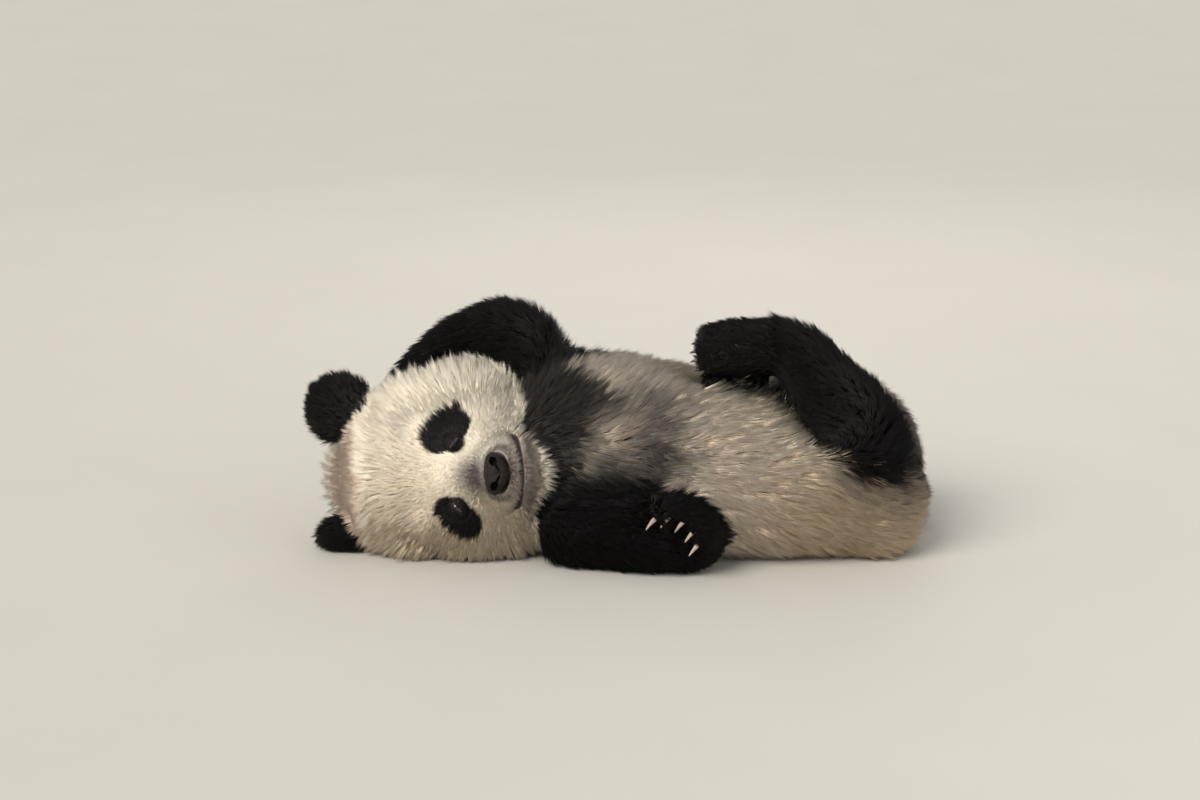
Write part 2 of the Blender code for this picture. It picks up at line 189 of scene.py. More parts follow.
def ripple(places, size, seed=0.0):
    """Smooth noise from -1 to 1 that changes over about so many metres."""
    shift = Vector((seed, seed * 1.7, seed * 0.3))
    return np.array([noise.noise(Vector(place) / size + shift) for place in places])


def middle(node):
    low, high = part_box(node)
    return np.array((low + high) / 2)


# %% [markdown]
# ## The face's own directions
#
# The head lies on its cheek, so up on the face is not up in the room. The eyes and the nose fix three
# directions: right on the face, up on it, and straight out of it. Every feature is then placed as it
# would be on a level head.

# %% A place on the face
NOSE_FALL = math.radians(39.1)  # how far forward the line from between the eyes to the nose leans
EYE_DROP = 0.011  # the eyes sit this far below the face's middle line
EYE_FORWARD = 0.076

eyes = {"left": middle("eye_left"), "right": middle("eye_right")}
between_eyes = (eyes["left"] + eyes["right"]) / 2
face_right = unit(eyes["right"] - eyes["left"])
to_nose = middle("nose") - between_eyes
to_nose = unit(to_nose - face_right * (to_nose @ face_right))
brow_out = np.cross(face_right, to_nose)
face_forward = to_nose * math.sin(NOSE_FALL) + brow_out * math.cos(NOSE_FALL)
face_up = brow_out * math.sin(NOSE_FALL) - to_nose * math.cos(NOSE_FALL)
FACE = np.array([face_right, face_up, face_forward])
HEAD_MIDDLE = between_eyes + face_up * EYE_DROP - face_forward * EYE_FORWARD


def on_face(right, up, forward):
    return HEAD_MIDDLE + np.array([right, up, forward]) @ FACE


def face_places(places):
    """The same places as right, up and forward on the face."""
    return (places - HEAD_MIDDLE) @ FACE.T


print("the face looks along", face_forward.round(3))

# %% [markdown]
# ## One skin under the coat
#
# The solids meet at thin cuts that the finished animal must not show. A voxel remesh melts copies of
# them into one closed surface. The hair ends there, so the skin is moved inwards by the depth of the
# coat: more than a centimetre on the body, and a few millimetres round the eyes and on the feet.

# %% Melt the flesh into one surface
SKIN_VOXEL = 0.0055
FLESH = [n for n in frame["nodes"] if not n.startswith(("eye_", "claw_")) and n != "nose"]

skin = apply(joined_copy("skin", FLESH), "REMESH", mode="VOXEL", voxel_size=SKIN_VOXEL)
height = points_of(skin)[:, 2]
pick_points(skin, height == height.max())  # the outer shell is kept, and anything inside it is not
bpy.ops.mesh.select_linked()
bpy.ops.mesh.select_all(action="INVERT")
bpy.ops.mesh.delete(type="VERT")
deselect_all()
print("melted skin:", len(skin.data.vertices), "points")


# %% Know which part of the body each point belongs to
def body_tree(*names):
    """A search tree over these solids, and which of them each of its faces belongs to."""
    corners, faces, owners = [], [], []
    for number, name in enumerate(names):
        start = len(corners)
        mesh = frame["nodes"][name].data
        corners.extend(point.co.copy() for point in mesh.vertices)
        faces.extend([start + corner for corner in face.vertices] for face in mesh.polygons)
        owners.extend([number] * len(mesh.polygons))
    return BVHTree.FromPolygons(corners, faces), np.array(owners)


flesh_tree, flesh_owner = body_tree(*FLESH)


def links_of(piece):
    """The two ends of every edge of a piece, and how many edges meet at each point."""
    ends = read(piece.data.edges, "vertices", 2, np.int32)
    return ends, np.bincount(ends.ravel(), minlength=len(piece.data.vertices))


def blur(values, links, times, factor=1.0):
    """Draws each point's values towards the mean of its neighbours' values."""
    ends, count = links
    flat = values.reshape(len(values), -1).astype(float).copy()
    for _ in range(times):
        for column in range(flat.shape[1]):
            one = flat[:, column]
            total = np.bincount(ends[:, 0], one[ends[:, 1]], len(one))
            total += np.bincount(ends[:, 1], one[ends[:, 0]], len(one))
            flat[:, column] += factor * (total / count - one)
    return flat.reshape(values.shape)


def body_shares(places, links, times):
    """Each point's shares in the solids, which add up to 1."""
    owner = [flesh_owner[flesh_tree.find_nearest(Vector(place))[2]] for place in places]
    shares = np.zeros((len(places), len(FLESH)))
    shares[np.arange(len(places)), owner] = 1.0
    return blur(shares, links, times)


def share_of(shares, *starts):
    """Each point's share in the solids whose names start this way."""
    return shares[:, [n for n, name in enumerate(FLESH) if name.startswith(starts)]].sum(1)


# %% Move the skin in by the depth of the coat
COAT = {  # how deep it is, how long and how wide a tuft, and its lift in degrees
    "head": (0.012, 0.018, 0.0014, 30), "neck": (0.013, 0.04, 0.0016, 25),
    "shoulders": (0.013, 0.042, 0.0016, 22), "belly": (0.013, 0.041, 0.0016, 22),
    "rump": (0.013, 0.041, 0.0017, 22), "tail": (0.009, 0.032, 0.0016, 22),
    "ear": (0.005, 0.019, 0.0013, 40), "upper_arm": (0.01, 0.032, 0.0016, 23),
    "forearm": (0.009, 0.028, 0.0016, 23), "forepaw": (0.004, 0.016, 0.0013, 23),
    "thigh": (0.01, 0.032, 0.0016, 23), "shank": (0.009, 0.027, 0.0016, 23),
    "hindfoot": (0.004, 0.018, 0.0014, 24),
}
MUZZLE_DEPTH = 0.002
RUFF_DEPTH = 0.017  # at the rim of the cheeks and on the forehead
CROWN_DEPTH = 0.006  # behind the fluff of the forehead the crown is sleek
CROWN_START = 0.113  # how far up the face it begins
CROWN_BACK = -0.04  # and how far behind the head's middle it ends, in a fringe
PRESSED_DEPTH = 0.0025  # where the body's weight flattens the coat on the floor
PRESSED_HEIGHT = 0.035


def coat_column(column, shares):
    """A value for each point, from one column of the table and the point's shares."""
    return shares @ np.array([
        next(row[column] for part, row in COAT.items() if name.startswith(part)) for name in FLESH])


def on_crown(on):
    """1 on the sleek band over the top of the head, 0 on the forehead and on the nape."""
    start = CROWN_START - 0.009 * bell(on[:, 0] - 0.004, 0.007)  # the fluff parts on the middle line
    return ramp(on[:, 1], start, start + 0.009) * ramp(on[:, 2], CROWN_BACK - 0.006, CROWN_BACK + 0.006)


def head_depth(places):
    """How deep the coat is over the head."""
    on = face_places(places)
    reach = length(on - [0.0, -0.03, 0.085])
    depth = MUZZLE_DEPTH + (RUFF_DEPTH - MUZZLE_DEPTH) * ramp(reach, 0.045, 0.15)
    return depth + (CROWN_DEPTH - depth) * on_crown(on)


def coat_depth(places, shares):
    depth = coat_column(0, shares)
    depth += share_of(shares, "head") * (head_depth(places) - COAT["head"][0])
    return PRESSED_DEPTH + (depth - PRESSED_DEPTH) * ramp(places[:, 2], 0.0, PRESSED_HEIGHT)


links = links_of(skin)
places = points_of(skin)
for _ in range(5):  # swelling a little after each shrink keeps the size while facets melt away
    places = blur(places, links, 1, 0.5)
    places = blur(places, links, 1, -0.48)
move_points(skin, places)
shares = body_shares(places, links, 10)
depth = blur(coat_depth(places, shares), links, 6)
places -= points_of(skin, "normal") * depth[:, None]
places = blur(places, links, 4, 0.5)
on = face_places(places)
muzzle_ring = bell(length(on - [0.0, -0.075, 0.09]) - 0.066, 0.018)
haunch = blur(share_of(shares, "thigh_right"), links, 30)
haunch = 4 * haunch * (1 - haunch) * ramp(-places[:, 2], -0.22, -0.16)
haunch += share_of(shares, "rump") * ramp(places[:, 0], 0.25, 0.29) * ramp(-places[:, 2], -0.11, -0.06)
folds = np.clip(muzzle_ring * share_of(shares, "head") + haunch, 0.0, 1.0)
places += (blur(places, links, 60, 0.85) - places) * folds[:, None]  # fill the folds a coat hides
places[:, 2] = np.maximum(places[:, 2], PRESSED_DEPTH)
move_points(skin, places)
print("coat depth from %.1f to %.1f mm" % (depth.min() * 1000, depth.max() * 1000))

# %% [markdown]
# ## The face
#
# Lids, lips and the bridge of the nose are folds a millimetre or two across, so the mesh is made finer
# there before its points are moved. Each eye gets a round swelling for the ball behind the lids, and a
# narrow slanting slit where they part. The mouth is a groove along the muzzle's lower rim, below two
# pads.

# %% Finer mesh where the features are
def refine(chosen):
    pick_points(skin, chosen)
    bpy.ops.mesh.subdivide(number_cuts=1)
    deselect_all()


def eye_places(places, side):
    """Right, up and forward on the face, measured from one eyeball's middle."""
    return (places - eyes[side]) @ FACE.T


def near_features(places, reach_eye, reach_mouth):
    on = face_places(places)
    near = length(on - [0.0, -0.085, 0.105]) < reach_mouth
    for side in eyes:
        near |= length(eye_places(places, side)) < reach_eye
    return near


on = face_places(points_of(skin))
refine((on[:, 2] > 0.0) & (length(on[:, :2] + [0.0, 0.03]) < 0.115))
refine(near_features(points_of(skin), 0.034, 0.064))
refine(near_features(points_of(skin), 0.021, 0.0))
pick_points(skin)
bpy.ops.mesh.quads_convert_to_tris()
deselect_all()
links = links_of(skin)
places = points_of(skin)
soft = blur(near_features(places, 0.04, 0.07).astype(float), links, 3)[:, None]
places += (blur(places, links, 6, 0.5) - places) * soft
move_points(skin, places)
print("skin with a fine face:", len(places), "points")

# %% Lids round each eye
LID_RADIUS = 0.013
SLIT_RADIUS = 0.0088  # the parted lids reach in past the ball's front
SLIT_LENGTH = 0.0115  # half of it, along the slit
SLIT_HEIGHT = 0.0019  # half of it, where the lids part most
SOCKET = 0.022  # how far from the eye's middle the face is reshaped
LID_BLEND = 0.0035  # how softly the ball's swelling runs into the face


def slit_places(places, side):
    """Along the slit to its outer corner, which hangs lower, and across it, from its middle."""
    flat = eye_places(places, side)[:, :2]
    right, up = (0.76 if side == "right" else -0.76), -0.65
    return flat @ np.array([right, up]), flat @ np.array([-up, right])


for side in eyes:
    level = eye_places(places, side)
    socket = (length(level[:, :2]) < SOCKET) & (np.abs(level[:, 2]) < 0.03)
    still = places.copy()
    for _ in range(160):  # a membrane stretched over the socket, from its rim
        still[socket] = blur(still, links, 1)[socket]
    level = eye_places(still, side)
    reach = length(level[:, :2])
    dome = np.sqrt(np.maximum(LID_RADIUS**2 - reach**2, 0.0))
    dome = np.where(reach < LID_RADIUS, dome, -0.01)
    soft = np.maximum(LID_BLEND - np.abs(level[:, 2] - dome), 0.0) ** 2 / (4 * LID_BLEND)
    high = np.maximum(level[:, 2], dome) + soft
    along, across = slit_places(still, side)
    half = SLIT_HEIGHT * np.sqrt(np.maximum(1 - (along / SLIT_LENGTH) ** 2, 0.0))
    parted = 1.0 - ramp(np.abs(across), half - 0.0002, half + 0.0007)
    parted *= np.abs(along) < SLIT_LENGTH
    inner = np.sqrt(np.maximum(SLIT_RADIUS**2 - reach**2, 0.0))
    crease = 0.0011 * bell(across - 0.0058, 0.0012) * ramp(-reach, -0.013, -0.009)
    rim = 0.0007 * bell(np.abs(across) - half - 0.0014, 0.0009) * (np.abs(along) < SLIT_LENGTH * 1.05)
    high = high - crease + rim
    level[:, 2] = high + (np.minimum(inner, high) - high) * parted
    places[socket] = (eyes[side] + level @ FACE)[socket]
move_points(skin, places)
print("lids part %.1f mm" % (SLIT_HEIGHT * 2000))

# %% Mouth, lip pads and the creases over the nose
MOUTH_UP = -0.101
MOUTH_RISE = 0.012  # the corners stand this much above the middle
MOUTH_HALF = 0.058


def mouth_gap(on):
    """How far each place is from the mouth's line, and 1 along the mouth fading to 0 past it."""
    gap = on[:, 1] - (MOUTH_UP + MOUTH_RISE * (on[:, 0] / MOUTH_HALF) ** 2)
    return gap, ramp(-np.abs(on[:, 0]), -MOUTH_HALF, -MOUTH_HALF + 0.012) * ramp(on[:, 2], 0.03, 0.05)


on = face_places(places)
gap, along_mouth = mouth_gap(on)
gap = gap + 0.001 * ripple(places, 0.012, 9.0)
right, up, forward = on.T
corners = ramp(np.abs(right), 0.02, 0.045)
push = -(0.006 + 0.0016 * corners) * bell(gap, 0.004 + 0.0016 * corners) * along_mouth
cleft = bell(right, 0.002) * ramp(up, -0.106, -0.099) * ramp(-up, 0.08, 0.086)  # nose to mouth
push -= 0.0026 * cleft * (forward > 0.09)
for side in (-1.0, 1.0):  # the two pads of the upper lip
    push += 0.003 * bell(right - side * 0.02, 0.015) * bell(up + 0.09, 0.008) * (forward > 0.07)
push += 0.003 * bell(right, 0.024) * bell(up + 0.112, 0.006) * (forward > 0.05)  # the chin
push -= 0.0022 * bell(up - 0.002 + 0.1 * right, 0.0022) * bell(right, 0.012) * (forward > 0.06)
push -= 0.0014 * bell(up + 0.007, 0.002) * bell(right + 0.004, 0.01) * (forward > 0.06)
places += points_of(skin, "normal") * push[:, None]
move_points(skin, places)
finished(skin, "white_coat", *FLESH)

# %% [markdown]
# ## Eyes, nose and claws
#
# These parts have no hair. The eye is a ball with a clear bulge over a dark pupil. The nose is a broad
# block of leather, rounded off, with two nostrils cut in, each a round hole that runs on into a slit.
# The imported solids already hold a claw's taper and curve, so it only needs rounding.

# %% Eyeballs
EYE_RADIUS = 0.0112
PUPIL_SPREAD = (0.0045, 0.0052)  # from its middle, where its edge begins and ends


def eyeball(side):
    bpy.ops.mesh.primitive_uv_sphere_add(
        segments=40, ring_count=24, radius=EYE_RADIUS, location=eyes[side])
    ball = bpy.context.object
    ball.name = ball.data.name = "eyeball_" + side
    bpy.ops.object.transform_apply(location=True, rotation=True, scale=True)
    centred = points_of(ball) - eyes[side]
    ahead = unit(centred) @ face_forward
    bulge = 0.0007 * ramp(ahead, 0.8, 0.95)
    move_points(ball, eyes[side] + centred + unit(centred) * bulge[:, None])
    off_axis = EYE_RADIUS * np.arccos(np.clip(ahead, -1, 1))
    give(ball.data, "pupil", "FLOAT", 1.0 - ramp(off_axis, *PUPIL_SPREAD))
    return finished(ball, "eye", "eye_" + side)


eyeballs = [eyeball(side) for side in eyes]
print("eyeballs:", [ball.name for ball in eyeballs])

# %% Nose leather
NOSE_HALF = np.array([0.0305, 0.0175, 0.017])  # half its width, height and depth
NOSE_PLACE = (0.0, -0.0685, 0.1215)
NOSE_FRONT = 0.137  # how far forward on the face the nostrils are cut in
NOSTRIL = (  # a round hole, and the slit that runs from it in and down: place, half sizes, tilt
    ((0.0172, -0.065), (0.0068, 0.0056, 0.0165), 20.0),
    ((0.0085, -0.07), (0.0078, 0.0016, 0.0115), 28.0),
)


def turned_to_face(piece, place):
    """Moves a piece made round the world's middle to its place on the face."""
    move_points(piece, on_face(*place) + points_of(piece) @ FACE)
    piece.data.flip_normals()  # the face's directions are left-handed, which turns it inside out


bpy.ops.mesh.primitive_cube_add(size=2.0)
nose = bpy.context.object
nose.name = nose.data.name = "nose_leather"
bpy.ops.object.mode_set(mode="EDIT")
bpy.ops.mesh.subdivide(number_cuts=13)
bpy.ops.object.mode_set(mode="OBJECT")
block = points_of(nose)
ball = unit(block)
block = ball * (1.0 + 0.22 * (1 - np.abs(ball).max(1)))[:, None]
block[:, 0] *= 1.0 - 0.42 * ramp(-block[:, 1], -0.3, 1.0) + 0.07 * ramp(block[:, 1], 0.1, 1.0)
right, up, forward = (block * NOSE_HALF).T
forward += 0.0016 * bell(np.abs(right) - 0.017, 0.008) * ramp(up, -0.008, 0.004)  # nostrils' rims
forward -= 0.0022 * bell(right, 0.0012) * ramp(-up, -0.004, 0.006) * (forward > 0)  # the cleft
move_points(nose, np.stack([right, up, forward], axis=1))
turned_to_face(nose, NOSE_PLACE)
for side in (-1.0, 1.0):
    for (right, up), size, tilt in NOSTRIL:
        bpy.ops.mesh.primitive_uv_sphere_add(segments=20, ring_count=12, radius=1.0)
        cutter = bpy.context.object
        ball = points_of(cutter) * size
        cos, sin = math.cos(math.radians(tilt)), math.sin(math.radians(tilt))
        ball[:, :2] = ball[:, :2] @ np.array([[cos, sin], [-sin, cos]])
        move_points(cutter, ball * [side, 1.0, 1.0])
        turned_to_face(cutter, (side * right, up, NOSE_FRONT))
        if side < 0:
            cutter.data.flip_normals()
        apply(nose, "BOOLEAN", operation="DIFFERENCE", object=cutter, solver="EXACT")
        bpy.data.objects.remove(cutter)
apply(nose, "REMESH", mode="VOXEL", voxel_size=0.0007)
apply(nose, "SMOOTH", factor=0.5, iterations=3)
finished(nose, "nose_leather", "nose")
print("nose leather:", len(nose.data.vertices), "points")

# %% Claws
def claws_of(foot):
    """The five claws of one foot, rounded."""
    solids = [name for name in frame["nodes"] if name.startswith("claw_" + foot)]
    piece = apply(joined_copy("claws_" + foot, solids), "SUBSURF", levels=2, render_levels=2)
    return finished(piece, "claw", *solids)


LEGS = ("foreleg_left", "foreleg_right", "hindleg_left", "hindleg_right")
claws = {leg: claws_of(leg) for leg in LEGS}
print("claws:", {foot: len(piece.data.vertices) for foot, piece in claws.items()})

# %% [markdown]
# ## The lie of the coat
#
# Hair lies back from the nose over the face, from the neck to the tail and from the spine round to the
# belly, and down each leg to the toes. These ways are set at every point of the skin, blurred together
# where parts meet, and stirred a little, because a resting animal's coat is never combed.

# %% Which way the hair lies
BODY_AXIS = (-0.03, 0.165)  # the line the trunk is wrapped round: across the room, and up
DOWN_LEG = {  # on each part of a leg the hair lies from the first of these two solids to the second
    "upper_arm": ("upper_arm_", "forearm_"), "forearm": ("forearm_", "forepaw_"),
    "forepaw": ("forearm_", "forepaw_"), "thigh": ("thigh_", "shank_"),
    "shank": ("shank_", "hindfoot_"), "hindfoot": ("shank_", "hindfoot_"),
}


def trunk_way(places):
    """Tailwards, and outwards from the belly's middle line and from the spine."""
    out = unit(places * [0.0, 1.0, 1.0] - [0.0, BODY_AXIS[0], BODY_AXIS[1]])
    round_body = np.cross(out, [1.0, 0.0, 0.0])
    parting = -2.0 * out[:, 1] * out[:, 2]  # 0 along the belly and the spine, strongest between
    swirl = 0.4 + 0.55 * bell(places[:, 0] + 0.02, 0.09) * ramp(-out[:, 1], 0.0, 0.6)
    return np.array([1.0, 0.0, 0.0]) + (swirl * parting)[:, None] * round_body


def part_way(name, places):
    """The way the hair lies on one solid, before it is laid onto the skin."""
    part, _, side = name.rpartition("_")
    if name == "head":
        away = unit(places - on_face(0.0, -0.062, 0.105))
        behind = ramp(-face_places(places)[:, 2], 0.0, 0.08)[:, None]
        return away + 1.2 * behind * unit(middle("neck") - places)
    if part == "ear":
        return unit(places - on_face(0.066 if side == "right" else -0.066, 0.095, -0.01))
    if name == "tail":
        return unit(middle("tail") - middle("rump"))
    if part not in DOWN_LEG:
        return trunk_way(places)
    start, end = DOWN_LEG[part]
    down_leg = unit(middle(end + side) - middle(start + side))
    if name != "thigh_right":
        return down_leg
    high = ramp(places[:, 2], 0.13, 0.24)[:, None]  # the lower half of this thigh lies with the flank
    return trunk_way(places) * (1 - high) + down_leg * high + [0.0, 0.0, 2.6] * high * (1 - high)


def laid(ways, normals):
    """Ways made to lie in the skin."""
    return unit(ways - (ways * normals).sum(1)[:, None] * normals)


places, normals = points_of(skin), points_of(skin, "normal")
shares = body_shares(places, links, 3)
wide_shares = blur(shares, links, 60)
ways = sum(wide_shares[:, n:n + 1] * part_way(name, places) for n, name in enumerate(FLESH))
stir = np.array([[ripple(places, size, seed) for seed in (1.0, 2.0, 3.0)] for size in (0.09, 0.03)])
body_share = 1.0 - share_of(shares, "head", "ear")
ways += (stir[0].T * 0.6 + stir[1].T * 0.28) * (0.25 + 0.75 * body_share)[:, None]
for _ in range(8):
    ways = laid(blur(ways, links, 1), normals)
print("lie of the coat set at", len(ways), "points")

# %% [markdown]
# ## Markings
#
# The ears, a patch round each eye, the legs, and a band over the shoulders are black. On this cub the
# band frays into grey on the chest, where the hair is thin over pink skin. The white turns warm on the
# flank it lies on. Painted shade greys it towards the haunch: brown on the rump, a grey strip below the
# raised leg, and black in the hollow under the raised foot. Skin and hair use the same rules, so they
# agree.

# %% Where the coat is dark, grey, warm or pink
PATCHES = {  # each eye patch on the face: its middle, half its length and width, and its long way
    "left": ((-0.058, -0.003), (0.035, 0.0215), (-0.59, -0.81)),
    "right": ((0.0555, -0.013), (0.034, 0.019), (0.6, -0.8)),
}
BAND_START, BAND_END = -0.108, 0.012  # along the body
LEG_BLACK = 0.12  # how high the raised leg's black ends at the haunch; it ends higher by the belly
CREASE = 0.027  # the black spills this far over the trunk beside a leg
PALE_SPOTS = (  # thin pale hair on the chest: where, how big, and how pale
    ((-0.036, -0.187, 0.185), (0.032, 0.06, 0.03), 1.0),
    ((-0.067, -0.165, 0.16), (0.015, 0.05, 0.022), 0.65),
    ((-0.004, -0.16, 0.222), (0.017, 0.06, 0.03), 0.38),
)
PINK_SPOT = (-0.015, -0.187, 0.175)
GREY_SPOT = (0.032, -0.201, 0.168)
# painted shade: the hollow between the raised foot and its thigh is coloured dark, as it lies in shadow
SHADED_HOLLOW = (0.207, -0.05, 0.245)  # between the raised foot and its thigh
NAVEL = (0.148, -0.206, 0.166)


def eye_patch(on, side):
    middle_point, (long, wide), (right, up) = PATCHES[side]
    flat = on[:, :2] - middle_point
    along, across = flat @ np.array([right, up]) / long, flat @ np.array([-up, right]) / wide
    oval = ramp(np.abs(along) ** 2.6 + np.abs(across) ** 2.6, 1.22, 0.86)
    eye = face_places(eyes[side])[:2]
    lids = ramp(-length(on[:, :2] - eye), -0.015, -0.012)
    return np.maximum(oval, lids) * (on[:, 2] > 0.03)


def spot(places, centre, size):
    return np.exp(-(((places - centre) / size) ** 2).sum(1))


def most(*layers):
    return np.maximum.reduce(layers)


def markings(places, normals, shares, gaps, fray):
    """Dark, grey, warm and pink from 0 to 1; fray moves the edges to and fro."""
    on = face_places(places)
    right, up, forward = on.T
    x, z = places[:, 0], places[:, 2]
    head, thigh = share_of(shares, "head"), share_of(shares, "thigh_right")
    trunk = ramp(share_of(shares, "neck", "shoulders", "belly", "rump"), 0.1, 0.45)
    belly_side = ramp(-normals[:, 1], -0.1, 0.5) * trunk
    top_side = ramp(-normals[:, 1], -0.7, 0.0) * trunk
    patches = sum(eye_patch(on + fray[:, None] * 0.15, side) for side in PATCHES)
    ears = ramp(share_of(shares, "ear"), 0.42, 0.58)
    arms = ramp(share_of(shares, "upper_arm", "fore"), 0.35, 0.65)

    start = BAND_START - 0.25 * belly_side  # under the throat the black reaches the cheeks
    end = BAND_END + fray - 0.02 * belly_side
    band = ramp(x + fray, start - 0.012, start + 0.008) * (1 - ramp(x, end - 0.03, end + 0.02))
    rise = z + fray + 0.4 * np.minimum(x + 0.045, 0.0)
    top = top_side * ramp(rise, 0.222, 0.244) * ramp(x + fray, -0.108, -0.08)
    thin = belly_side * (0.12 + 0.28 * ramp(x, -0.05, 0.01)) + 0.92 * top
    band = band * trunk * (1 - thin)

    low_edge = LEG_BLACK + 0.45 * np.maximum(0.36 - x, 0.0)
    edge = low_edge + 1.2 * np.maximum(0.285 - x, 0.0)
    above = ramp(z, edge + fray * 2.2 - 0.012, edge + fray * 2.2 + 0.008)
    hind = share_of(shares, "shank", "hindfoot", "thigh_left") + thigh * above
    legs = most(arms, ramp(hind + fray * 8, 0.35, 0.65))
    over_edge = ramp(z + fray, low_edge - 0.008, low_edge + 0.008)
    gaps = gaps + fray[:, None] * [1.5, 0.9]
    leg_spill, arm_spill = ramp(-gaps, -CREASE - 0.004, -CREASE + 0.004).T
    spill = most(leg_spill * over_edge, arm_spill * ramp(-x, -0.06, -0.02)) * trunk
    dusk = spot(places, GREY_SPOT, [0.032, 0.05, 0.022]) * trunk
    # painted shade: black laid into the shaded hollow under the raised foot
    hollow_shade = np.minimum(1.8 * spot(places, SHADED_HOLLOW, [0.03, 0.08, 0.023]), 1.0) * trunk
    dark = most(patches * ramp(head, 0.3, 0.7), ears, band, legs, spill, 0.72 * dusk, hollow_shade)

    grey = most(belly_side, top) * ramp(-x + fray * 2.5, -0.115, -0.01) * (0.95 - 0.82 * top)
    grey = most(grey, 0.95 * dusk)
    for centre, size, strength in PALE_SPOTS:
        pale = strength * spot(places, centre, size) * trunk
        grey, dark = grey * (1 - 0.8 * pale), dark * (1 - pale)
    navel = spot(places, NAVEL, [0.006, 0.05, 0.0024]) * trunk
    bridge = np.minimum(1.3 * spot(on, [0.002, -0.036, 0.115], [0.025, 0.024, 0.05]), 0.98)
    nose_rim = 0.85 * ramp(-length((on - NOSE_PLACE) / NOSE_HALF), -1.55, -1.15)
    gap, along_mouth = mouth_gap(on)
    lips = along_mouth * 0.95 * bell(gap + 0.001, 0.01)
    pads = bell(up + 0.09, 0.009) * bell(right, 0.04) * (forward > 0.07)
    haunch = np.clip(trunk + thigh, 0.0, 1.0)
    # painted shade: the rump behind the body is greyed, and over its warm tint it reads as brown shadow
    behind = 0.94 * ramp(x, 0.3, 0.38) * ramp(z + fray * 2, 0.03, 0.14)
    # painted shade: a grey strip on the belly just below the raised leg's black edge
    shade_below_leg = 0.5 * ramp(x, 0.23, 0.27) * bell(z - edge + 0.012, 0.022)
    face = head * most(bridge, nose_rim, lips, 0.78 * pads)
    grey = most(grey, navel, face, haunch * most(behind, shade_below_leg))

    crown = head * on_crown(on + fray[:, None] * 0.4)
    warm = trunk * (0.42 + 0.5 * ramp(x, 0.14, 0.25) * ramp(-z, -0.2, -0.09)) + 0.3 * crown
    warm += share_of(shares, "thigh_right", "tail") * 0.8
    warm += head * (0.12 + 0.46 * ramp(right, 0.0, 0.09))
    warm += 0.3 * head * spot(on, [0.0, 0.055, 0.09], [0.035, 0.03, 0.06])
    lower_lip = bell(up + 0.112, 0.01) * bell(right, 0.034) * (forward > 0.05)
    chest = spot(places, PINK_SPOT, [0.016, 0.05, 0.016]) * trunk
    belly = 0.3 * belly_side * ramp(x, 0.06, 0.12) * ramp(-x, -0.24, -0.16)
    pink = most(chest, head * most(0.8 * pads, 0.75 * lower_lip), belly, 0.8 * crown)
    return np.clip(np.stack([dark, grey, warm, pink], axis=1), 0.0, 1.0)


def gap_to(*names):
    """How far each point of the skin is from the nearest of these solids."""
    tree = body_tree(*names)[0]
    return np.array([tree.find_nearest(Vector(place))[3] for place in places])


gaps = np.stack([
    gap_to("thigh_right", "shank_right", "hindfoot_right"),
    gap_to("upper_arm_left", "upper_arm_right", "forearm_right", "forepaw_right")], axis=1)
fray = 0.011 * ripple(places, 0.02, 5.0) + 0.007 * ripple(places, 0.008, 6.0)
skin_marks = markings(places, normals, shares, gaps, fray)
print("dark share of the skin: %.2f" % skin_marks[:, 0].mean())

# %% Bare leather on the face, the lips' edges, and round the claws
CLAW_CLEAR = 0.0016  # no hair grows this close to a claw


def search_tree(places, numbers):
    """A tree that finds the nearest of the places with these numbers."""
    tree = KDTree(len(numbers))
    for number in numbers:
        tree.insert(Vector(places[number]), int(number))
    tree.balance()
    return tree


on = face_places(places)
gap, along_mouth = mouth_gap(on)
lips = bell(gap, 0.0056 + 0.0016 * ramp(np.abs(on[:, 0]), 0.02, 0.045)) * along_mouth
bare = np.zeros(len(places))
for side in eyes:
    along, across = slit_places(places, side)
    near = length(eye_places(places, side)) < 0.02
    margin = near * ramp(-np.abs(across), -0.0034, -0.0022) * (np.abs(along) < SLIT_LENGTH + 0.001)
    bare = np.maximum(bare, margin)
under_nose = length((on - NOSE_PLACE) / (NOSE_HALF + 0.001)) < 1.0
bare = np.maximum(bare, under_nose)
bare = np.maximum(bare, ramp(lips, 0.25, 0.6))
horn = np.concatenate([points_of(piece) for piece in claws.values()])
claw_tree = search_tree(horn, range(len(horn)))
for index in np.flatnonzero(share_of(shares, "forepaw", "hindfoot", "forearm") > 0.2):
    if claw_tree.find(Vector(places[index]))[2] < CLAW_CLEAR:
        bare[index] = 1.0
skin_marks[:, 0] = np.maximum(skin_marks[:, 0], 0.92 * ramp(lips, 0.2, 0.65))
print("bare points:", int((bare > 0.5).sum()))


# %% Put the markings on the skin
give(skin.data, "marks", "FLOAT_VECTOR", skin_marks[:, :3])
give(skin.data, "pink", "FLOAT", skin_marks[:, 3])
give(skin.data, "bare", "FLOAT", bare)

# %% [markdown]
# ## One tuft, and many
#
# A tuft is a pinch of hairs: a three-sided spike, closed at the root, with only four faces, because
# hundreds of thousands of copies have to fit in one model. Each copy is turned along the lie of the
# hair, tipped down towards the skin, and drawn a little towards its neighbours' tips, as hair clumps.

# %% Model the spike
def spike():
    """A closed three-sided spike of height 1, as its points and triangles."""
    bpy.ops.mesh.primitive_cone_add(
        vertices=3, radius1=0.58, radius2=0.0, depth=1.0, location=(0, 0, 0.5))
    cone = bpy.context.object
    bpy.ops.object.transform_apply(location=True, rotation=True, scale=True)
    apply(cone, "TRIANGULATE")
    shape = points_of(cone) * [1.0, 0.55, 1.0]
    corners = np.array([list(face.vertices) for face in cone.data.polygons])
    bpy.data.objects.remove(cone)
    return shape, corners


TUFT, TUFT_FACES = spike()
print("a tuft has", len(TUFT_FACES), "triangles")

# %% How long, wide and upright the hair is
EYE_HAIR = np.array([0.0048, 0.0009, 24.0])  # length, width and lift round the eyes


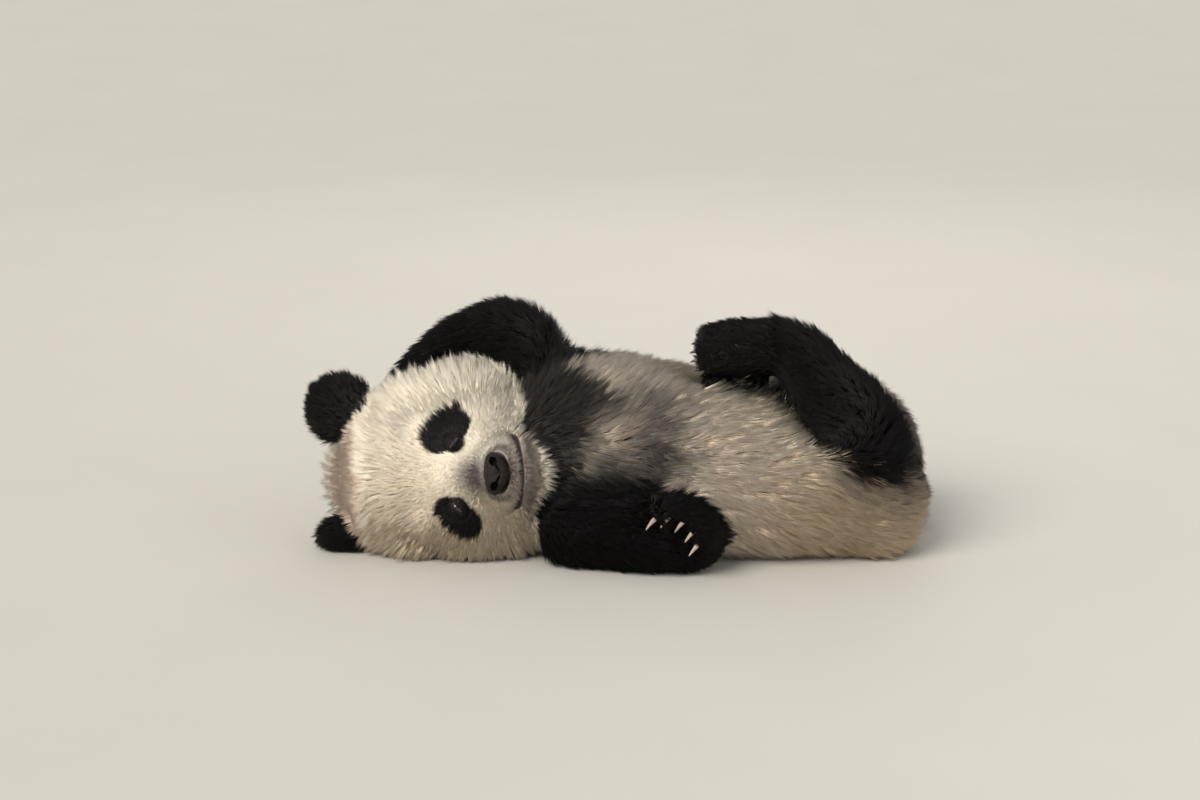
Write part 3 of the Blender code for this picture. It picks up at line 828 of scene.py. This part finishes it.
def head_hair(places):
    """Length, width and lift over the head: where the coat is deep, it is long and stands up."""
    depth = head_depth(places)
    deep = np.clip((depth - MUZZLE_DEPTH) / (RUFF_DEPTH - MUZZLE_DEPTH), 0.0, 1.0)
    on = face_places(places)
    crown = on_crown(on)
    ridge = bell(on[:, 1] - CROWN_START + 0.008, 0.01)
    fringe = bell(on[:, 2] - CROWN_BACK + 0.01, 0.009) * ramp(on[:, 1], 0.1, 0.12)
    lift = 26.0 + 15.0 * deep - 4.0 * crown + 12.0 * ridge + 34.0 * fringe
    long = (depth * 1.18 + 0.0006) / np.sin(np.radians(lift))
    long = long * (1 - 0.12 * crown) * (1.0 + 0.9 * fringe)
    return np.stack([long, 0.0009 + 0.0005 * deep, lift], axis=1)


def hair_at(places, shares):
    """Length, width and lift of the hair at each point of the skin."""
    hair = np.stack([coat_column(column, shares) for column in (1, 2, 3)], axis=1)
    face = head_hair(places)
    eye_reach = np.minimum(*(length(eye_places(places, side)) for side in eyes))
    face = face + (EYE_HAIR - face) * ramp(-eye_reach, -0.036, -0.018)[:, None]
    head = share_of(shares, "head")[:, None]
    return hair * (1 - head) + face * head


hair = blur(hair_at(places, blur(shares, links, 6)), links, 4)
print("hair from %.1f to %.1f mm long" % (hair[:, 0].min() * 1000, hair[:, 0].max() * 1000))

# %% Sow roots over one part of the skin
THIN = 1  # trial runs sow a quarter of the tufts
BAKE_PATCH = 0.0015  # half the size of a tuft's patch on the unwrap
triangles = read(skin.data.polygons, "vertices", 3, np.int32)


def unwrap(faces):
    """Where each corner of these triangles lies on an unwrap of their own shape."""
    used, corners = np.unique(faces, return_inverse=True)
    patch = link_piece("patch", bpy.data.meshes.new("patch"))
    patch.data.from_pydata(places[used].tolist(), [], corners.reshape(-1, 3).tolist())
    pick_points(patch)
    bpy.ops.uv.smart_project(angle_limit=math.radians(66), island_margin=0.004)
    deselect_all()
    spread = read(patch.data.uv_layers.active.data, "uv", 2).reshape(-1, 3, 2)
    bpy.data.objects.remove(patch)
    return spread


def sow(faces, weight, count, chance):
    """Roots spread evenly over triangles: which triangle each is on, and its place in it."""
    corners = places[faces]
    area = length(np.cross(corners[:, 1] - corners[:, 0], corners[:, 2] - corners[:, 0]))
    running = np.cumsum(area * weight[faces].mean(1))
    turn = (np.arange(count) + chance.random(count)) / count * running[-1]
    chosen = np.minimum(np.searchsorted(running, turn), len(faces) - 1)
    first, second = np.sqrt(chance.random(count)), chance.random(count)
    mix = np.stack([1 - first, first * (1 - second), first * second], axis=1)
    return chosen, mix


# %% Keep the tufts out of the folds
skin_tree = BVHTree.FromPolygons(places.tolist(), triangles.tolist())


def free_room(starts, aims, most):
    """How far each tuft can reach before it meets the skin of another part."""
    room = most + 1.0
    for number, (start, way, far) in enumerate(zip(starts.tolist(), aims.tolist(), most.tolist())):
        hit = skin_tree.ray_cast(Vector(start), Vector(way), far)[3]
        if hit is not None:
            room[number] = hit
    return room


# %% Grow one piece of the coat
FLOOR_CLEAR = 0.0012
ROOT_DEPTH = 0.0012  # the roots start this far inside the skin
CLUMP_EVERY = 18  # tufts that share a tip, on average


def coat_piece(name, slot, faces, count, strays, clump, seed):
    """Tufts over these triangles of the skin, as one mesh; clump is how far they share their tips."""
    chance = np.random.default_rng(seed)
    count = count // THIN
    chosen, mix = sow(faces, density * (1 - bare), count, chance)
    patch = unwrap(faces)
    own = faces[chosen]

    def at_root(values):
        return (values[own] * mix[:, :, None]).sum(1)

    root, normal = at_root(places), unit(at_root(normals))
    size = at_root(hair)
    spread = (patch[chosen] * mix[:, :, None]).sum(1)
    leaders = np.arange(0, count, CLUMP_EVERY)
    chance.shuffle(leaders)
    tree = search_tree(root, leaders)
    leader = np.array([tree.find(Vector(place))[1] for place in root])

    def varied(own, shared):
        """A random number for each tuft, plus one that its whole clump shares."""
        return chance.normal(0.0, own, count) + chance.normal(0.0, shared, count)[leader]

    turn = np.radians(varied(5.0, 8.0))[:, None]
    way = laid(at_root(ways), normal)
    way = way * np.cos(turn) + np.cross(normal, way) * np.sin(turn)
    stray = (chance.random(count) < strays) * size[:, 2] / 30.0
    tilt = varied(2.5, 3.0) + 12.0 * stray
    lift = np.radians(np.clip(size[:, 2] * 0.82 + tilt, 5.0, 60.0))
    long = size[:, 0] * chance.uniform(0.75, 1.15, count) * (1.0 + 0.15 * stray)
    wide = size[:, 1] * chance.uniform(0.8, 1.2, count) * (1.6 if THIN > 1 else 1.0)

    def aim(lift):
        return way * np.cos(lift)[:, None] + normal * np.sin(lift)[:, None]

    room = free_room(root + normal * 0.0006, aim(lift), long)
    tight = room < long
    lift = np.where(tight, lift + 0.06, lift)
    long = np.where(tight, np.maximum(room * 0.85, 0.005), long)
    tip = root + aim(lift) * long[:, None]
    near = length(root - root[leader]) < 0.6 * long
    tip += (tip[leader] - tip) * (clump * near * chance.uniform(0.6, 1.3, count))[:, None]

    height = TUFT[None, :, 2:3]
    spine = (root - normal * ROOT_DEPTH)[:, None] * (1 - height) + tip[:, None] * height
    along = unit(tip - root)
    across = unit(np.cross(along, normal))
    outward = np.cross(across, along)
    girth = TUFT[None, :, :2] * wide[:, None, None] * (1 - height)
    body = spine + across[:, None] * girth[..., :1] + outward[:, None] * girth[..., 1:]
    body[..., 2] = np.maximum(body[..., 2], FLOOR_CLEAR * (0.6 + 0.4 * TUFT[None, :, 2]))

    mesh = bpy.data.meshes.new(name)
    ends = (np.arange(count)[:, None, None] * len(TUFT) + TUFT_FACES[None]).reshape(-1)
    mesh.vertices.add(count * len(TUFT))
    write(mesh.vertices, "co", body)
    mesh.loops.add(len(ends))
    write(mesh.loops, "vertex_index", ends, np.int32)
    mesh.polygons.add(len(ends) // 3)
    write(mesh.polygons, "loop_start", np.arange(0, len(ends), 3), np.int32)
    mesh.update(calc_edges=True)
    offset = np.stack([TUFT[:, 0] / 1.16, TUFT[:, 2] * 2 - 1], axis=1) * BAKE_PATCH
    flat = (spread[:, None] + offset[None]).reshape(-1, 2)[ends]
    write(mesh.uv_layers.new(name="OFBake").data, "uv", flat)

    edge = at_root(fray[:, None])[:, 0] + varied(0.003, 0.004)
    marks = markings(root, normal, at_root(shares), at_root(gaps), edge)
    shade = varied(0.35, 0.5) - 1.2 * tight  # hair that is pressed against another part lies in shadow
    give(mesh, "marks", "FLOAT_VECTOR", np.repeat(marks[:, :3], len(TUFT), axis=0))
    give(mesh, "pink", "FLOAT", np.repeat(marks[:, 3], len(TUFT)))
    give(mesh, "shade", "FLOAT", np.repeat(shade, len(TUFT)))
    give(mesh, "height", "FLOAT", np.tile(TUFT[:, 2], count))
    print(name, count, "tufts,", len(ends) // 3, "triangles")
    return finished(link_piece(name, mesh), slot)


# %% Sort the skin into the pieces of the coat
density = 0.15 + 0.85 * ramp(places[:, 2], 0.002, 0.012)
density *= 1.0 + 1.6 * share_of(shares, "head") * ramp(-hair[:, 0], -0.024, -0.007)
owner = shares.argmax(1)[triangles[:, 0]]
short = hair[triangles, 0].mean(1) < 0.0165
behind = face_places(places)[triangles, 2].mean(1) < -0.015
HEAD_ZONES = {"face": short, "ruff": ~short & ~behind, "nape": ~short & behind}

LEG_PARTS = {
    "foreleg": ("upper_arm_", "forearm_", "forepaw_"), "hindleg": ("thigh_", "shank_", "hindfoot_"),
}
COATS = [  # slot, the parts it covers, tufts, the share of them that stands out, clumping
    ("face", "white_coat", ("head",), 49000, 0.02, 0.35),
    ("ruff", "white_coat", ("head",), 49000, 0.14, 0.58),
    ("nape", "white_coat", ("head",), 24000, 0.06, 0.5),
    ("ears", "black_coat", ("ear",), 18000, 0.16, 0.4),
    ("shoulders", "white_coat", ("neck", "shoulders"), 44000, 0.05, 0.48),
    ("belly", "white_coat", ("belly",), 49000, 0.05, 0.48),
    ("rump", "white_coat", ("rump", "tail"), 44000, 0.05, 0.48),
]
for leg, count in zip(LEGS, (24000, 27000, 18000, 27000)):
    which, side = leg.split("_")
    parts = tuple(part + side for part in LEG_PARTS[which])
    COATS.append((leg, "black_coat", parts, count, 0.05, 0.45))

coat = []
for seed, (name, slot, parts, count, strays, clump) in enumerate(COATS, 40):
    ours = np.isin(owner, [n for n, part in enumerate(FLESH) if part.startswith(parts)])
    if name in HEAD_ZONES:
        ours &= HEAD_ZONES[name]
    coat.append(coat_piece("coat_" + name, slot, triangles[ours], count, strays, clump, seed))

# %% [markdown]
# ## Finishes
#
# A finish is a small network of nodes, written as sums: a wrapped socket adds the Math node for each
# sign. Colours are blended by Mix nodes, because a Math node would turn them grey. Hair is paler at
# its tip than at its root, differs a little from tuft to tuft, and is never pure white or black.

# %% Arithmetic on sockets
class Wire:
    """One socket of a material; arithmetic on it adds the nodes that work it out."""

    def __init__(self, tree, socket):
        self.tree, self.socket = tree, socket

    def node(self, kind, settings=None, sockets=None, output=0):
        """Any other node: its settings are made first, then its sockets are set or linked."""
        made = self.tree.nodes.new(kind)
        for name, value in (settings or {}).items():
            setattr(made, name, value)
        for name, value in (sockets or {}).items():
            if isinstance(value, Wire):
                self.tree.links.new(value.socket, made.inputs[name])
            else:
                made.inputs[name].default_value = value
        return Wire(self.tree, made.outputs[output])

    def sum(self, operation, first, second):
        return self.node("ShaderNodeMath", {"operation": operation}, {0: first, 1: second})

    def __add__(self, other):
        return self.sum("ADD", self, other)

    def __radd__(self, other):
        return self.sum("ADD", other, self)

    def __sub__(self, other):
        return self.sum("SUBTRACT", self, other)

    def __rsub__(self, other):
        return self.sum("SUBTRACT", other, self)

    def __mul__(self, other):
        return self.sum("MULTIPLY", self, other)

    def __rmul__(self, other):
        return self.sum("MULTIPLY", other, self)

    def clamped(self):
        return self.node("ShaderNodeClamp", {}, {0: self})

    def attribute(self, name, output=2):
        return self.node("ShaderNodeAttribute", {"attribute_name": name}, output=output)

    def split(self):
        """The three numbers of a vector."""
        return [self.node("ShaderNodeSeparateXYZ", {}, {0: self}, output=k) for k in range(3)]

    def blend(self, start, end):
        """A colour: start where this is 0, end where it is 1."""
        return self.node("ShaderNodeMix", {"data_type": "RGBA"}, {0: self, 6: start, 7: end}, 2)

    def noise(self, scale, detail=3.0):
        """Noise at the place that this wire holds."""
        return self.node("ShaderNodeTexNoise", {}, {"Vector": self, "Scale": scale, "Detail": detail})


def finish(name, roughness, **sockets):
    """A new material, its shader, and a wire that holds the place on the object."""
    material = bpy.data.materials.new(name)
    material.use_nodes = True
    tree = material.node_tree
    shader = tree.nodes["Principled BSDF"]
    shader.inputs["Roughness"].default_value = roughness
    for socket, value in sockets.items():
        shader.inputs[socket.replace("_", " ")].default_value = value
    return material, shader, Wire(tree, None).node("ShaderNodeTexCoord", output=3)


def feed(shader, socket, wire):
    wire.tree.links.new(wire.socket, shader.inputs[socket])


def emboss(shader, height, strength, distance, **settings):
    """Fine relief that is too small to model."""
    sockets = {"Strength": strength, "Distance": distance, "Height": height}
    feed(shader, "Normal", height.node("ShaderNodeBump", settings, sockets))


def colour(red, green, blue):
    return (red, green, blue, 1.0)


# %% Coat and skin
CREAM = colour(0.95, 0.89, 0.765)
CREAM_ROOT = colour(0.82, 0.74, 0.6)
BUFF = colour(0.62, 0.415, 0.215)
# painted shade: a shadowed beige that clumps are darkened towards, for the shade between strands
SHADOW_BEIGE = colour(0.42, 0.35, 0.27)
GREY = colour(0.095, 0.073, 0.077)
BLACK = colour(0.0035, 0.0028, 0.003)
BROWN_BLACK = colour(0.0095, 0.0068, 0.0064)
PINK = colour(0.66, 0.455, 0.37)
LEATHER = colour(0.022, 0.012, 0.011)


def marked_colour(height, shade):
    """The coat's colour from its markings, the height up a tuft and the tuft's shade."""
    dark, grey, warm = height.attribute("marks", 1).split()
    pink = height.attribute("pink")
    pale = height.blend(CREAM_ROOT, CREAM)
    pale = (warm * 0.75 + shade * 0.08).clamped().blend(pale, BUFF)
    # painted shade: clumps with a higher shade value, chosen at random, darken towards the shadow beige
    pale = (shade * 0.2 + 0.06).clamped().blend(pale, SHADOW_BEIGE)
    pale = (pink * 0.6).clamped().blend(pale, PINK)
    pale = (grey * 0.9 + shade * 0.08 * grey).clamped().blend(pale, GREY)
    black = (0.35 + shade * 0.25).clamped().blend(BLACK, BROWN_BLACK)
    return dark.clamped().blend(pale, black)


def coat_finish(name, roughness, gloss):
    material, shader, where = finish(name, roughness, Specular_IOR_Level=gloss)
    shade = where.attribute("shade")
    height = (where.attribute("height") * 0.9 + 0.25 + shade * 0.1).clamped()
    feed(shader, "Base Color", marked_colour(height, shade))
    emboss(shader, where.noise(900.0, 2.0), 0.25, 0.0006)
    return material


def skin_finish():
    material, shader, where = finish("skin", 0.62, Specular_IOR_Level=0.35)
    leather = where.attribute("bare")
    fine = where.noise(420.0, 4.0)
    hue = marked_colour((fine * 0.7).clamped(), fine - 0.5)
    feed(shader, "Base Color", (leather * 0.95).clamped().blend(hue, LEATHER))
    feed(shader, "Roughness", (0.7 - leather * 0.22 + fine * 0.1).clamped())
    emboss(shader, fine, 0.5, 0.0012)
    return material


coat_finishes = {
    "white_coat": coat_finish("white_coat", 0.62, 0.3),
    "black_coat": coat_finish("black_coat", 0.5, 0.16),
}
skin.data.materials.append(skin_finish())
for piece, row in zip(coat, COATS):
    piece.data.materials.append(coat_finishes[row[1]])

# %% Eye, nose leather and horn
def eye_finish():
    material, shader, where = finish("eye", 0.06, Coat_Weight=1.0, Coat_Roughness=0.03)
    iris = where.noise(900.0).blend(colour(0.03, 0.014, 0.008), colour(0.06, 0.03, 0.016))
    feed(shader, "Base Color", where.attribute("pupil").blend(iris, colour(0.003, 0.003, 0.003)))
    return material


def nose_finish():
    material, shader, where = finish("nose_leather", 0.45, Specular_IOR_Level=0.16)
    pebbles = where.node("ShaderNodeTexVoronoi", {"feature": "SMOOTH_F1"},
                         {"Vector": where, "Scale": 620.0, "Smoothness": 0.6})
    cloud = where.noise(160.0)
    hue = cloud.blend(colour(0.007, 0.005, 0.005), colour(0.02, 0.014, 0.0135))
    feed(shader, "Base Color", hue)
    feed(shader, "Roughness", (0.4 + cloud * 0.22).clamped())
    emboss(shader, pebbles, 0.5, 0.0009, invert=True)
    return material


def horn_finish(name, pale, deep):
    material, shader, where = finish(name, 0.32, Specular_IOR_Level=0.5)
    streaks = where.noise(380.0, 5.0)
    feed(shader, "Base Color", streaks.blend(deep, pale))
    feed(shader, "Roughness", (0.24 + streaks * 0.2).clamped())
    emboss(shader, streaks, 0.2, 0.0004)
    return material


eye_material = eye_finish()
for ball in eyeballs:
    ball.data.materials.append(eye_material)
nose.data.materials.append(nose_finish())
pale_horn = horn_finish("pale_horn", colour(0.46, 0.385, 0.32), colour(0.26, 0.2, 0.165))
dark_horn = horn_finish("dark_horn", colour(0.16, 0.12, 0.1), colour(0.05, 0.04, 0.035))
# the hind claws take the dark horn: partly darker, dirtier horn and partly painted shade for feet lying
# in shadow
for leg, piece in claws.items():
    piece.data.materials.append(pale_horn if leg.startswith("foreleg") else dark_horn)

# %% [markdown]
# ## The studio
#
# The floor is pale. A very soft light from the upper left, like a wide window, favours the face, and
# two weak ones from the right and from behind fill the shadows. The camera looks down by fifteen
# degrees, square to the upturned face, through a long lens.

# %% Floor, lights and camera
CAMERA_AIM = Vector((-0.0304, -0.061, 0.2118))
CAMERA_AWAY = 4.0
CAMERA_RISE = math.radians(15)

bpy.ops.mesh.primitive_plane_add(size=40.0, location=(0.0, 0.0, 0.0))
floor = bpy.context.object
floor.name = "studio_floor"
floor_material, shader, where = finish("studio_floor", 0.8)
feed(shader, "Base Color", where.noise(3.0).blend(colour(0.5, 0.48, 0.44), colour(0.53, 0.51, 0.47)))
floor.data.materials.append(floor_material)


def lamp(kind, name, place, way, power, tint, **extent):
    bpy.ops.object.light_add(type=kind, location=place)
    light = bpy.context.object
    light.name = name
    light.rotation_euler = Vector(way).to_track_quat("-Z", "Y").to_euler()
    for setting, value in {"energy": power, "color": tint, **extent}.items():
        setattr(light.data, setting, value)


lamp("SUN", "window_light", (-1.5, -2.0, 2.2), (0.45, 0.62, -0.64), 3.1, (1.0, 0.96, 0.89),
     angle=math.radians(35))
lamp("AREA", "fill_light", (1.8, -1.6, 1.3), (-1.7, 1.6, -1.2), 10.0, (0.9, 0.95, 1.0), size=1.6)
lamp("AREA", "rim_light", (0.3, 2.0, 1.6), (-0.3, -2.0, -1.4), 8.0, (1.0, 0.97, 0.92), size=1.4)
world = bpy.data.worlds.new("studio_air")
bpy.context.scene.world = world
world.use_nodes = True
air = world.node_tree.nodes["Background"].inputs
air["Color"].default_value = colour(1.0, 0.985, 0.96)
air["Strength"].default_value = 0.6
bpy.context.scene.view_settings.view_transform = "Standard"

lens = bpy.data.cameras.new("camera")
lens.lens = 85.0
camera = link_piece("camera", lens)
away = Vector((0.0, -math.cos(CAMERA_RISE), math.sin(CAMERA_RISE)))
camera.location = CAMERA_AIM + away * CAMERA_AWAY
camera.rotation_euler = (-away).to_track_quat("-Z", "Y").to_euler()
bpy.context.scene.camera = camera
